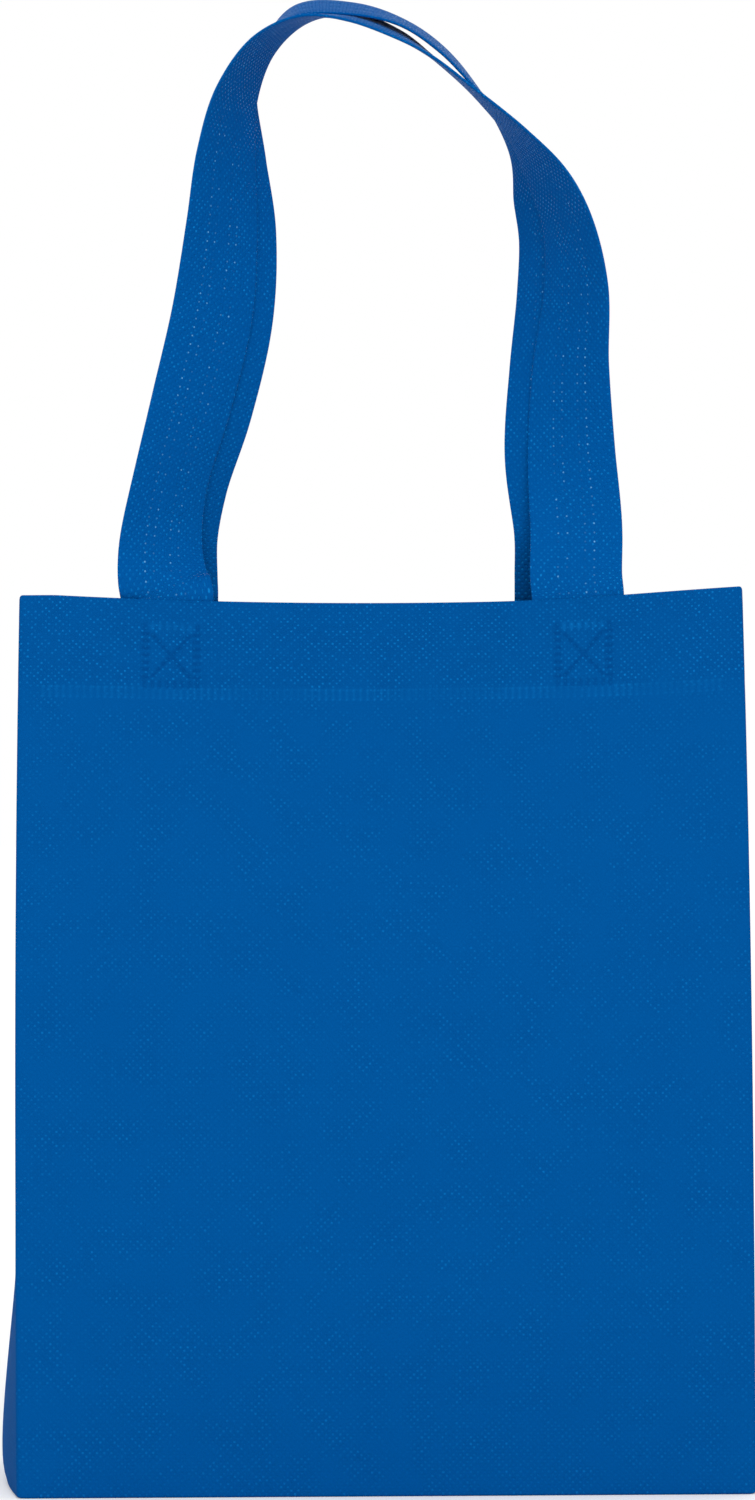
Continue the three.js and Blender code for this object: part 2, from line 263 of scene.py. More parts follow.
FRONT_SWELLS = (
    Swell(-74, 190, 14, 20, 0.7, -8),
    Swell(-45, 176, 10, 30, 0.5, 4),
    Swell(-78, 148, 20, 7, 0.35, 6),
    Swell(-72, 128, 16, 12, 0.5),
    Swell(-70, 64, 24, 9, 0.45, 4),
    Swell(-30, 96, 22, 14, -0.4, 20),
    Swell(-5, 45, 34, 18, 0.9),
    Swell(42, 134, 12, 9, 0.4, -25),
    Swell(68, 150, 18, 12, 0.5, -20),
    Swell(78, 66, 16, 20, 0.7, 10),
    Swell(20, 190, 26, 18, 0.4, -12),
    Swell(60, 196, 14, 14, -0.4),
    Swell(-20, 244, 26, 8, -0.45),
    Swell(14, 240, 12, 12, 0.5, 10),
    Swell(-82, 236, 12, 9, 0.4),
    Swell(84, 238, 10, 9, 0.35),
    Swell(-82, 222, 17, 2.6, -0.3, 1),
    Swell(84, 223, 16, 2.6, -0.3, -2),
)


class Drape:
    """The soft unevenness of the two panels."""

    WAVES = 9
    SHORTEST = 34 * MM
    LONGEST = 95 * MM
    HEIGHT = 0.09 * MM
    SEEDS = {Face.FRONT: 11, Face.BACK: 29}
    CALM_EDGE, CALM_BASE, CALM_TOP = 7 * MM, 12 * MM, 5 * MM  # it dies out this near a fold

    def __init__(self, form: BagForm) -> None:
        """Draws the waves of each panel from a fixed seed.

        Args:
            form: The bag's sizes.
        """
        self.form = form
        self.waves = {face: self._draw(seed) for face, seed in self.SEEDS.items()}

    def _draw(self, seed: int) -> Array:
        """Draws the direction, length and phase of each wave."""
        random = np.random.default_rng(seed)
        heading = random.uniform(0, math.pi, self.WAVES)
        pace = 2 * math.pi / random.uniform(self.SHORTEST, self.LONGEST, self.WAVES)
        phase = random.uniform(0, 2 * math.pi, self.WAVES)
        return np.stack([pace * np.cos(heading), pace * np.sin(heading), phase], axis=1)

    def at(self, face: Face, x: Array, along: Array) -> Array:
        """How far a panel's points stand proud; the back panel has the front one's swells, mirrored."""
        total = np.zeros_like(x)
        for pace_x, pace_along, phase in self.waves[face]:
            total += self.HEIGHT * np.sin(pace_x * x + pace_along * along + phase)
        for swell in FRONT_SWELLS:
            total += swell.at(-face.value * x, along)
        edge = self.form.flat_width / 2 - np.abs(x)
        calm = smoothstep(0, self.CALM_BASE, along) * smoothstep(0, self.CALM_TOP, self.form.height - along)
        return total * smoothstep(0, self.CALM_EDGE, edge) * calm


@dataclass(frozen=True)
class Points:
    """Points of the web, one number of each row for each point."""

    side: Array  # the sign of the gusset that it lies on, or 0 on a panel
    face: Array  # the sign of its panel, or of the panel whose half of the gusset it is on
    local: Array  # distance from a panel's middle, or share of the way from a gusset's middle fold
    along: Array  # distance up the fabric
    inwards: Array  # distance from the outer face into the wall


class FoldedWeb:
    """Places points of the flat fabric on the standing bag.

    The web has six parts, from the back left fold: the left gusset's halves, the front panel, the right
    gusset's halves and the back panel.
    """

    PARTS_SIDE = np.array([-1, -1, 0, 1, 1, 0])
    PARTS_FACE = np.array([1, -1, -1, -1, 1, 1])

    def __init__(self, form: BagForm) -> None:
        """Prepares the profile and the drape.

        Args:
            form: The bag's sizes.
        """
        self.form = form
        self.profile = SideProfile(form)
        self.drape = Drape(form)

    def points(self, around: Array, along: Array, inwards: Array) -> Points:
        """Finds which part of the web each point lies on.

        Args:
            around: Distance round the bag from the back left fold.
            along: Distance up the fabric.
            inwards: Distance from the outer face into the wall.

        Returns:
            The points.
        """
        half, flat = self.form.half_gusset, self.form.flat_width
        starts = np.cumsum([0, half, half, flat, half, half])
        part = np.clip(np.searchsorted(starts, around, side="right") - 1, 0, 5)
        past = around - starts[part]
        to_fold, from_fold = past / half, 1 - past / half
        local = np.choose(part, [from_fold, to_fold, past - flat / 2, from_fold, to_fold, flat / 2 - past])
        return Points(self.PARTS_SIDE[part], self.PARTS_FACE[part], local, along, inwards)

    def from_fold(self, points: Points) -> Array:
        """Distance of points from the nearest side fold."""
        on_panel = self.form.flat_width / 2 - np.abs(points.local)
        return np.where(points.side == 0, on_panel, (1 - points.local) * self.form.half_gusset)

    def dip(self, x: Array, along: Array) -> Array:
        """How far the fabric dips between its side folds."""
        form = self.form
        share = np.clip((x - form.sag_centre) / (form.half_width - form.sag_centre), -1, 1)
        lift = form.right_lift * smoothstep(form.lift_start, form.lift_end, x)
        drop = form.mouth_sag * (1 - share * share) - lift
        return drop * (np.clip(along, 0, None) / form.height) ** form.sag_fade

    def panel(self, points: Points) -> Array:
        """Places points of the front or back panel, one row for each."""
        form, x, along = self.form, points.local, points.along
        front, back = (self.drape.at(side, x, along) for side in (Face.FRONT, Face.BACK))
        depth, rise = self.profile.at(along, points.inwards - np.where(points.face < 0, front, back))
        share = x / (form.flat_width / 2)
        bow = form.panel_bow * (1 - share * share) * np.sin(math.pi * np.clip(along / form.height, 0, 1))
        return np.stack([x, points.face * (depth + bow), rise - self.dip(x, along)], axis=1)

    def gusset(self, points: Points) -> Array:
        """Places points of the gussets, which fold inwards further up, one row for each."""
        form, along, inwards = self.form, points.along, points.inwards
        outer_depth, outer_rise = self.profile.at(along, np.zeros_like(along))
        depth, rise = self.profile.at(along, inwards)
        angle = self.profile.angle(along)
        sine, cosine = np.sin(angle), np.cos(angle)

        outer_run = (outer_depth - form.fold_radius * (1 + sine)) / cosine
        outer_arc = form.fold_radius * (angle + math.pi / 2)
        reached = points.local * (outer_run + outer_arc)
        on_flat = np.clip(reached / outer_run, 0, 1)
        on_fold = np.clip((reached - outer_run) / outer_arc, 0, 1)

        radius = form.fold_radius - inwards
        centre = form.half_width - form.fold_radius
        run = (depth - radius * (1 + sine)) / cosine
        middle = centre + radius * cosine - run * sine
        blunt = middle + inwards / cosine - inwards
        flat_x = np.maximum(middle + on_flat * run * sine, blunt)
        turn = angle - on_fold * (angle + math.pi / 2)
        x = np.where(on_fold > 0, centre + radius * np.cos(turn), flat_x)
        y = np.where(on_fold > 0, depth - radius - radius * np.sin(turn), on_flat * run * cosine)

        height = (outer_rise + form.bulge_foot) / (form.bulge_height + form.bulge_foot)
        level = np.clip(height, 0, 1) ** form.bulge_skew
        bulge = np.where(points.side < 0, form.left_bulge, form.right_bulge) * 4 * level * (1 - level)
        x = points.side * (x + bulge * (1 - np.clip(np.abs(y / depth), 0, 1) ** form.bulge_roundness))
        return np.stack([x, points.face * y, rise - self.dip(x, along)], axis=1)

    def place(self, points: Points) -> Array:
        """Places points of the web, one row for each."""
        on_panel = points.side == 0
        above = replace(points, along=np.maximum(points.along, self.form.base_fold))
        panel = self.panel(replace(above, local=np.where(on_panel, points.local, 0)))
        gusset = self.gusset(replace(above, local=np.where(on_panel, 1, points.local)))
        places = np.where(on_panel[:, None], panel, gusset)
        self._tuck_base(places, points.along, points.inwards)
        self._round_feet(places)
        self._round_tips(places, points.along)
        return places

    def _tuck_base(self, places: Array, along: Array, inwards: Array) -> None:
        """Turns the fabric's lowest stretch under, into the base."""
        fold = self.form.base_fold
        low = along < fold
        turn = np.clip(along[low] / fold, 0, 1) * math.pi / 2
        radius = fold - inwards[low]
        inset = radius * (1 - np.sin(turn))
        for axis in (0, 1):
            column = places[low, axis]
            places[low, axis] = column - np.sign(column) * np.minimum(inset, np.abs(column))
        places[low, 2] = inwards[low] + radius * (1 - np.cos(turn))

    def _round_feet(self, places: Array) -> None:
        """Draws the foot of each gusset in towards the base."""
        form = self.form
        below = np.clip(1 - places[:, 2] / form.foot_round, 0, 1)
        inset = form.foot_round * (1 - np.sqrt(1 - below * below))
        near = smoothstep(form.half_width - form.foot_reach, form.half_width, np.abs(places[:, 0]))
        places[:, 0] -= np.sign(places[:, 0]) * inset * near

    def _round_tips(self, places: Array, along: Array) -> None:
        """Rounds the four corners where the top fold meets the side folds."""
        form = self.form
        outside = np.clip(1 - (form.half_width - np.abs(places[:, 0])) / form.tip_round, 0, 1)
        drop = form.tip_round * (1 - np.sqrt(1 - outside * outside))
        places[:, 2] -= drop * smoothstep(form.height - form.tip_reach, form.height, along)


@dataclass(frozen=True)
class BoxWeld:
    """The boxed cross that welds the end of a handle to the hem, made of short pressed bars."""

    x: float
    below_fold: float = 16.9 * MM
    width: float = 16.8 * MM
    height: float = 20 * MM
    bar_pitch: float = 2.24 * MM
    bar_length: float = 2.5 * MM
    half_bar: float = 0.62 * MM
    depth: float = 0.32 * MM
    cross_length: float = 2 * MM
    top_highlight: float = 0.8  # painted highlight of the bars in the top row; below 0 it is a painted shade
    end_shade: float = -0.7  # painted shade of its last bars, and of the bottom row
    # painted shade of the side bars and of the cross
    bar_shade: float = -1.0
    highlight_width: float = 0.4  # share of the width, from the middle, where the top row gets its painted highlight
    bar_edge: Ramp = (0.25, 1.5)  # in half bars from its middle
    dish_edge: Ramp = (0.72, 1.12)  # in halves of the box

    def bars(self, form: BagForm) -> list[tuple[float, float, float, float, float]]:
        """Lays out the bars of the frame and of the cross.

        Args:
            form: The bag's sizes.

        Returns:
            For each bar where it starts, across and up the fabric, where it ends, and its painted light: a
            painted highlight above 0, a painted shade below.
        """
        middle = form.height - self.below_fold
        inner_x = (self.width - self.bar_length) / 2
        inner_along = (self.height - self.bar_length) / 2
        half = self.bar_length / 2
        bars = []
        for x in self._steps(self.width):
            for sign in (-1, 1):
                # the middle of the top row gets a painted highlight, the other bars a painted shade
                lit = sign > 0 and abs(x) < self.highlight_width * self.width
                bar_light = self.top_highlight if lit else self.end_shade
                bars.append(self._bar(x, middle + sign * inner_along, half, math.pi / 2, bar_light))
        for along in self._steps(self.height - 2 * self.bar_pitch):
            bars += [self._bar(sign * inner_x, middle + along, half, 0, self.bar_shade) for sign in (-1, 1)]
        lean = math.atan2(inner_along, inner_x)
        reach = math.hypot(inner_x, inner_along) - self.bar_length
        half = self.cross_length / 2
        for sign in (-1, 1):
            for distance in self._steps(2 * reach):
                x, along = sign * distance * math.cos(lean), middle + distance * math.sin(lean)
                bars.append(self._bar(x, along, half, sign * lean, self.bar_shade))
        return bars

    def _bar(
        self, x: float, along: float, half: float, angle: float, bar_light: float
    ) -> tuple[float, float, float, float, float]:
        """Makes a bar of its middle, half its length and its angle; its round ends lie within its length."""
        reach = max(half - self.half_bar, 0)
        step_x, step_along = reach * math.cos(angle), reach * math.sin(angle)
        x += self.x
        return x - step_x, along - step_along, x + step_x, along + step_along, bar_light

    def _steps(self, length: float) -> Array:
        """Evenly spaced middles of the bars along a side."""
        count = max(round(length / self.bar_pitch), 1)
        return (np.arange(count) - (count - 1) / 2) * length / count

    def at(self, form: BagForm, x: Array, along: Array) -> tuple[Array, Array]:
        """Says how hard the bars press each point, from 0 to 1, and the painted light there: a painted
        highlight above 0, a painted shade below.
        """
        pressed, painted_light = np.zeros_like(x), np.zeros_like(x)
        for from_x, from_along, to_x, to_along, bar_light in self.bars(form):
            run_x, run_along = to_x - from_x, to_along - from_along
            square = run_x * run_x + run_along * run_along
            share = np.clip(((x - from_x) * run_x + (along - from_along) * run_along) / square, 0, 1)
            apart = np.hypot(x - from_x - share * run_x, along - from_along - share * run_along)
            here = 1 - smoothstep(*self.bar_edge, apart / self.half_bar)
            painted_light = np.where(here > pressed, here * bar_light, painted_light)
            pressed = np.maximum(pressed, here)
        return pressed, painted_light

    def hollow(self, form: BagForm, x: Array, along: Array) -> Array:
        """The shallow dish that the weld as a whole leaves, from 0 to 1."""
        across = np.abs(x - self.x) / (self.width / 2)
        up = np.abs(along - form.height + self.below_fold) / (self.height / 2)
        return 1 - smoothstep(*self.dish_edge, np.maximum(across, up))


@dataclass(frozen=True)
class HandlePlace:
    """Where a handle's two ends lie: from the side folds to the middle of the strap."""

    face: Face
    left_inset: float
    right_inset: float

    def ends(self, form: BagForm) -> tuple[float, float]:
        """The x of the left and of the right end."""
        return self.left_inset - form.half_width, form.half_width - self.right_inset


FRONT_HANDLE = HandlePlace(Face.FRONT, 41.6 * MM, 46.2 * MM)
BACK_HANDLE = HandlePlace(Face.BACK, 42.4 * MM, 50.6 * MM)


@dataclass(frozen=True)
class BagBody:
    """The web of fabric: two panels, two gussets, a base, and a hem folded in round the mouth."""

    form: BagForm
    web: FoldedWeb
    bar_pitch: float = 1.93 * MM  # of the seam's ladder, whose bars the mesh's columns follow
    bar_length: float = 3.5 * MM
    half_bar: float = 0.42 * MM
    bar_depth: float = 0.26 * MM
    bar_edge: Ramp = (0.2, 1.6)  # in half bars from its middle
    bar_end: Ramp = (-0.5 * MM, 0.4 * MM)  # past its end
    middle_highlight: float = 0.35  # painted highlight of a bar's middle; its ends get the full painted highlight
    highlight_rise: Ramp = (0.8 * MM, 1.6 * MM)  # where a bar's painted highlight rises to full, from the seam's middle
    ladder_margin: float = 4.6 * MM  # the seam's bars stop this near a side fold
    groove_depth: float = 0.12 * MM  # of the trough in which they lie
    groove_edge: Ramp = (0.8 * MM, 3 * MM)  # from the seam's middle
    groove_end: Ramp = (0.5 * MM, 5 * MM)  # from a side fold
    box_aside: float = 1.2 * MM  # from the middle of a handle's end to the middle of its boxed cross
    box_hollow: float = 0.2 * MM
    # how much more the hem's lattice and its dots' painted highlight stand out, and the height over which
    # this rises above the seam
    hem_gleam: float = 0.5
    gleam_rise: float = 4 * MM
    creases: tuple[float, ...] = (0, 0.35 * MM, 0.9 * MM, 1.7 * MM)  # columns beside a gusset's middle fold
    fold_band: float = 3.6 * MM  # the width beside a side fold that has fine columns
    fold_gap: float = 1 * MM
    foot_band: float = 12 * MM  # the height above the base that has its own rows
    seam_band: float = 3 * MM  # the height above and below the seam that is divided finely
    row_pitch: float = 2 * MM  # of the rows above it
    refine: int = 3

    @property
    def boxes(self) -> list[tuple[Face, BoxWeld]]:
        """The boxed cross at each end of each handle."""
        places = (FRONT_HANDLE, BACK_HANDLE)
        return [(place.face, BoxWeld(x + self.box_aside)) for place in places for x in place.ends(self.form)]

    def columns(self) -> Array:
        """Distances round the bag of the mesh's columns."""
        half, flat = self.form.half_gusset, self.form.flat_width
        last = half - self.fold_band
        plain = np.arange(self.creases[-1] + self.bar_pitch, last - self.fold_gap, self.bar_pitch)
        from_middle = np.concatenate([self.creases, plain, np.linspace(last, half, 9)])
        gusset = np.concatenate([half - from_middle[::-1], half + from_middle[1:]])
        bars = int(flat / 2 / self.bar_pitch)
        inner = np.arange(-bars, bars + 1) * self.bar_pitch
        panel = np.concatenate([inner, [flat / 2]]) + flat / 2
        second = 2 * half + flat
        return np.concatenate([gusset, 2 * half + panel, second + gusset[1:], second + 2 * half + panel])

    def rows(self) -> tuple[Array, Array]:
        """Distance up the fabric, and into the wall, of each row from the base outside to the base inside."""
        form = self.form
        top, hem, fold = form.height, form.hem_thickness, form.base_fold
        low = form.seam_along - self.seam_band
        outer = np.concatenate(
            [
                np.linspace(0, fold, 5)[:-1],
                np.linspace(fold, self.foot_band, 6)[:-1],
                np.linspace(self.foot_band, low, 61)[:-1],
                np.arange(low, top - self.row_pitch / 2, self.row_pitch),
                [top],
            ]
        )
        turn = np.linspace(0, math.pi, 7)[1:]
        hem_edge = form.seam_along - form.hem_margin
        inner_hem = np.linspace(top, hem_edge, 8)[1:]
        inner = np.concatenate([np.linspace(hem_edge, fold, 30), [form.sheet, 0]])
        along = np.concatenate([outer, top + hem / 2 * np.sin(turn), inner_hem, inner])
        depths = [np.zeros(len(outer)), hem / 2 * (1 - np.cos(turn)), np.full(len(inner_hem), hem)]
        return along, np.concatenate([*depths, np.full(len(inner), form.sheet)])

    def welds(self, points: Points) -> tuple[Array, Array]:
        """Finds what the welds do to the outer face.

        Args:
            points: Points of the web.

        Returns:
            How much painted light each point gets from being pressed, from -1 to 1, a painted highlight above
            0 and a painted shade below, and how deep it lies.
        """
        form, local, along = self.form, points.local, points.along
        from_fold = self.web.from_fold(points)
        bars = np.where(points.side == 0, local, local * form.half_gusset) / self.bar_pitch
        off_bar = np.abs(bars - np.round(bars)) * self.bar_pitch
        off_seam = np.abs(along - form.seam_along)
        across = 1 - smoothstep(*self.bar_edge, off_bar / self.half_bar)
        up = 1 - smoothstep(*self.bar_end, off_seam - self.bar_length / 2)
        press = across * up * (from_fold > self.ladder_margin)
        groove = (1 - smoothstep(*self.groove_edge, off_seam)) * smoothstep(*self.groove_end, from_fold)
        depth = press * self.bar_depth + self.groove_depth * groove
        # the seam's bars get a painted highlight, brightest at their ends
        at_end = smoothstep(*self.highlight_rise, off_seam)
        painted_light = press * (self.middle_highlight + (1 - self.middle_highlight) * at_end)
        for face, box in self.boxes:
            near = (points.side == 0) & (points.face == face.value) & (np.abs(local - box.x) < box.width)
            near &= along > form.seam_along - self.row_pitch
            spots, bar_light = box.at(form, local[near], along[near])
            dish = box.hollow(form, local[near], along[near])
            depth[near] = depth[near] + spots * box.depth + dish * self.box_hollow
            # the bars of the boxed crosses take their own painted highlight or painted shade
            painted_light[near] = np.where(spots > 0, bar_light, painted_light[near])
        return painted_light, depth

    def _is_fine(self, points: Points) -> Array:
        """Says of each point whether the fabric there holds a weld."""
        form, along = self.form, points.along
        fine = np.abs(along - form.seam_along) < self.seam_band + 0.1 * MM
        fine &= self.web.from_fold(points) > self.ladder_margin - self.bar_pitch
        for face, box in self.boxes:
            near = (points.side == 0) & (points.face == face.value)
            near &= np.abs(points.local - box.x) < box.width / 2 + self.bar_pitch
            near &= np.abs(along - form.height + box.below_fold) < box.height / 2 + self.row_pitch
            fine |= near
        return fine & (points.inwards <= 0)

    def build(self) -> bpy.types.Object:
        """Divides the flat web finely at the welds, folds it and closes it with the base.

        Returns:
            The finished body.
        """
        form = self.form
        columns = self.columns()
        along_rows, inward_rows = self.rows()
        crossings = np.broadcast_arrays(columns, along_rows[:, None], inward_rows[:, None])
        fine = self._is_fine(self.web.points(*crossings))
        bm = bmesh.new()
        add_grid(bm, len(columns), len(along_rows))
        edges = [edge for edge in bm.edges if all(fine[round(v.co.y), round(v.co.x)] for v in edge.verts)]
        bmesh.ops.subdivide_edges(bm, edges=edges, cuts=self.refine, use_grid_fill=True)
        mesh = new_mesh("bag_fabric", bm)

        flat = read_points(mesh)
        around = np.interp(flat[:, 0], np.arange(len(columns)), columns)
        along, inwards = (
            np.interp(flat[:, 1], np.arange(len(rows)), rows) for rows in (along_rows, inward_rows)
        )
        points = self.web.points(around, along, inwards)
        painted_light, depth = (values * (inwards <= 0) for values in self.welds(points))
        places = self.web.place(replace(points, inwards=inwards + depth))
        write_points(mesh, places)
        set_map(mesh, FABRIC_UV, np.stack([around, along], axis=1))
        set_values(mesh, PAINTED_LIGHT, painted_light)
        # above the seam the lattice and its dots' painted highlight stand out more
        lattice_gleam = smoothstep(form.seam_along, form.seam_along + self.gleam_rise, along)
        set_values(mesh, LATTICE_GLEAM, self.hem_gleam * lattice_gleam)

        bm = bmesh.new()
        bm.from_mesh(mesh)
        corners = np.cumsum([0, 2 * form.half_gusset, form.flat_width, 2 * form.half_gusset, form.flat_width])
        marks = [int(np.argmin(np.abs(columns - corner))) for corner in corners]
        for row in (0, len(along_rows) - 1):
            picked = np.flatnonzero(np.abs(flat[:, 1] - row) < 1e-3)
            add_base(bm, places[picked[np.argsort(flat[picked, 0])]], marks)
        return finish(bm, mesh)


def add_base(bm: BMesh, ring: Array, marks: list[int]) -> None:
    """Fills a four-cornered ring with a grid whose edges meet the ring's points.

    Args:
        bm: Where the grid is added.
        ring: The ring's points, the last being the first again.
        marks: Where the sides begin: left gusset, front panel, right gusset, back panel, and the end.
    """
    left, front, right, back = (ring[start : end + 1] for start, end in zip(marks, marks[1:]))
    left, back = left[::-1], back[::-1]
    u = np.linspace(0, 1, len(front))[:, None, None]
    v = np.linspace(0, 1, len(left))[None, :, None]
    sides = (1 - v) * front[:, None] + v * back[:, None] + (1 - u) * left[None] + u * right[None]
    corner = (1 - u) * ((1 - v) * front[0] + v * back[0]) + u * ((1 - v) * front[-1] + v * back[-1])
    patch = sides - corner
    layer = bm.loops.layers.uv[FABRIC_UV]
    for vertex in add_grid(bm, len(front), len(left)):
        place = patch[round(vertex.co.x), round(vertex.co.y)]
        vertex.co = place
        for loop in vertex.link_loops:
            loop[layer].uv = place[:2]


def add_grid(bm: BMesh, across: int, deep: int) -> list[bmesh.types.BMVert]:
    """Adds a flat grid.

    Args:
        bm: Where it is added.
        across: How many columns of points it has.
        deep: How many rows.

    Returns:
        Its points, each lying at its column and row.
    """
    made = bmesh.ops.create_grid(bm, x_segments=across - 1, y_segments=deep - 1, size=0.5)["verts"]
    for vertex in made:
        column, row = (vertex.co.x + 0.5) * (across - 1), (vertex.co.y + 0.5) * (deep - 1)
        vertex.co = (round(column), round(row), 0)
    return made


def new_mesh(name: str, bm: BMesh) -> bpy.types.Mesh:
    """Makes a mesh of what was modelled."""
    mesh = bpy.data.meshes.new(name)
    bm.to_mesh(mesh)
    bm.free()
    return mesh


def read_points(mesh: bpy.types.Mesh) -> Array:
    """The points of a mesh, one row for each."""
    flat = np.empty(len(mesh.vertices) * 3)
    mesh.vertices.foreach_get("co", flat)
    return flat.reshape(-1, 3)


def write_points(mesh: bpy.types.Mesh, places: Array) -> None:
    """Moves the points of a mesh."""
    mesh.vertices.foreach_set("co", places.ravel())
    mesh.update()


def set_map(mesh: bpy.types.Mesh, name: str, points: Array) -> None:
    """Gives a mesh a map that its fabric's pattern follows.

    Args:
        mesh: The mesh.
        name: The name of the map.
        points: The place of each point on the flat fabric, in metres.
    """
    layer = mesh.uv_layers.new(name=name)
    owner = np.empty(len(mesh.loops), dtype=np.int32)
    mesh.loops.foreach_get("vertex_index", owner)
    layer.data.foreach_set("uv", points[owner].ravel())


def set_values(mesh: bpy.types.Mesh, name: str, values: Array) -> None:
    """Stores a number for each point of a mesh, as an attribute."""
    attribute = mesh.attributes.new(name, "FLOAT", "POINT")
    attribute.data.foreach_set("value", values.astype(np.float32))


def finish(bm: BMesh, mesh: bpy.types.Mesh) -> bpy.types.Object:
    """Joins a shape's seams, fills what is still open and makes an object of it, shaded smooth.

    Args:
        bm: The shape.
        mesh: Where it is kept; the object takes its name.

    Returns:
        The object.
    """
    bmesh.ops.remove_doubles(bm, verts=bm.verts, dist=MERGE_DISTANCE)
    bmesh.ops.holes_fill(bm, edges=[edge for edge in bm.edges if edge.is_boundary], sides=0)
    bmesh.ops.recalc_face_normals(bm, faces=bm.faces)
    bm.to_mesh(mesh)
    bm.free()
    mesh.shade_smooth()
    mesh.update()
    obj = bpy.data.objects.new(mesh.name, mesh)
    bpy.context.scene.collection.objects.link(obj)
    return obj


@dataclass(frozen=True)
class Station:
    """A place on the front handle's free route, in millimetres, and how the back handle lies against it."""

    x: float  # share of the way from the middle of the ends to one of them
    y: float
    rise: float  # above the mouth
    twist: float  # degrees, from facing forwards to facing into the loop
    gap: float  # between the two handles
    slip: float  # of the back handle towards the inside of the loop
    lead: float  # degrees by which the back handle's twist leads


# The route of the front handle from its left end over the arch to its right end.
ROUTE = (
    Station(-1.022, -7.8, 5, 14, 13.5, 6, 0),
    Station(-1.03, -5, 16, 29, 5.3, 8, 0),
    Station(-0.983, -4, 33, 38, 1.1, 8.6, 0),
    Station(-0.879, -3, 55, 32, 0.7, 8.2, 0),
    Station(-0.775, -3, 80, 31, 0.7, 7.8, 0),
    Station(-0.726, -3.5, 104, 41, 0.7, 8.5, 0),
    Station(-0.702, -3.5, 124, 52, 0.7, 7, 0),
    Station(-0.65, -3.5, 141, 65, 1.1, 6, 2),
    Station(-0.518, -4, 155, 78, 2.2, 8, 8.5),
    Station(-0.338, -5, 162, 90, 2.8, 9.5, 12.5),
    Station(-0.099, -5, 163, 101, 0.4, 10, 2.6),
    Station(0.127, -5, 158.3, 101, 1.5, 10, -1),
    Station(0.317, -5.5, 151, 95, 2.2, 11, 3.5),
    Station(0.525, -6.5, 140.6, 91, 0.7, 13, 3),
    Station(0.73, -7, 128.5, 82, 0.7, 15, -2),
    Station(0.865, -6.5, 117, 68, 1.1, 14, -8),
    Station(0.962, -6.5, 104, 60, 1.1, 14.5, -8),
    Station(1.003, -5.5, 86, 48, 1.1, 13, -3),
    Station(0.976, -4, 64, 36, 0.9, 9.5, 0),
    Station(0.976, -3.5, 40, 20, 1.5, 7.8, 0),
    Station(0.997, -5, 18, 4, 7.5, 5, 0),
    Station(0.993, -7.8, 5, 0, 14.5, 4, 0),
)


class SmoothPath:
    """A smooth curve through a row of points, with a value that is carried along it."""

    STEPS = 40  # between two points
    REACH = 1.5 * MM  # before and behind a place, to find the direction there

    def __init__(self, points: Array, values: Array) -> None:
        """Samples the curve.

        Args:
            points: The points that it passes, one row for each.
            values: The value at each point.
        """
        rows = np.column_stack([points, values])
        rows = np.concatenate([2 * rows[:1] - rows[1:2], rows, 2 * rows[-1:] - rows[-2:-1]])
        spans = [self._span(rows[index : index + 4]) for index in range(len(rows) - 3)]
        self.samples = np.concatenate([*spans, rows[-2:-1]])
        steps = np.linalg.norm(np.diff(self.samples[:, :3], axis=0), axis=1)
        self.lengths = np.concatenate([[0], np.cumsum(steps)])

    @property
    def length(self) -> float:
        """Length of the curve."""
        return float(self.lengths[-1])

    def _span(self, rows: Array) -> Array:
        """Samples the curve between the middle two of four points."""
        p0, p1, p2, p3 = rows
        d0, d1, d2 = np.sqrt(np.linalg.norm(np.diff(rows[:, :3], axis=0), axis=1))
        start = ((p1 - p0) / d0 - (p2 - p0) / (d0 + d1) + (p2 - p1) / d1) * d1
        end = ((p2 - p1) / d1 - (p3 - p1) / (d1 + d2) + (p3 - p2) / d2) * d1
        t = np.linspace(0, 1, self.STEPS, endpoint=False)[:, None]
        cubic = 2 * p1 - 2 * p2 + start + end
        square = -3 * p1 + 3 * p2 - 2 * start - end
        return p1 + start * t + square * t**2 + cubic * t**3

    def at(self, distance: Array) -> Array:
        """The points and the carried value at distances along the curve."""
        columns = [np.interp(distance, self.lengths, self.samples[:, k]) for k in range(4)]
        return np.stack(columns, axis=1)

    def tangents(self, distance: Array) -> Array:
        """The curve's direction at distances along it."""
        ahead = self.at(np.minimum(distance + self.REACH, self.length))[:, :3]
        run = ahead - self.at(np.maximum(distance - self.REACH, 0))[:, :3]
        return run / np.linalg.norm(run, axis=1)[:, None]


def strap_frame(tangents: Array, twist: Array) -> tuple[Array, Array]:
    """The directions across a strap and out of its face.

    Args:
        tangents: Its direction at each place.
        twist: Its twist there, in radians.

    Returns:
        The direction across it and the direction that it faces.
    """
    outwards = np.stack([-tangents[:, 2], np.zeros(len(tangents)), tangents[:, 0]], axis=1)
    outwards /= np.linalg.norm(outwards, axis=1)[:, None]
    forwards = np.cross(tangents, outwards)
    cosine, sine = np.cos(twist)[:, None], np.sin(twist)[:, None]
    return outwards * cosine + forwards * sine, forwards * cosine - outwards * sine


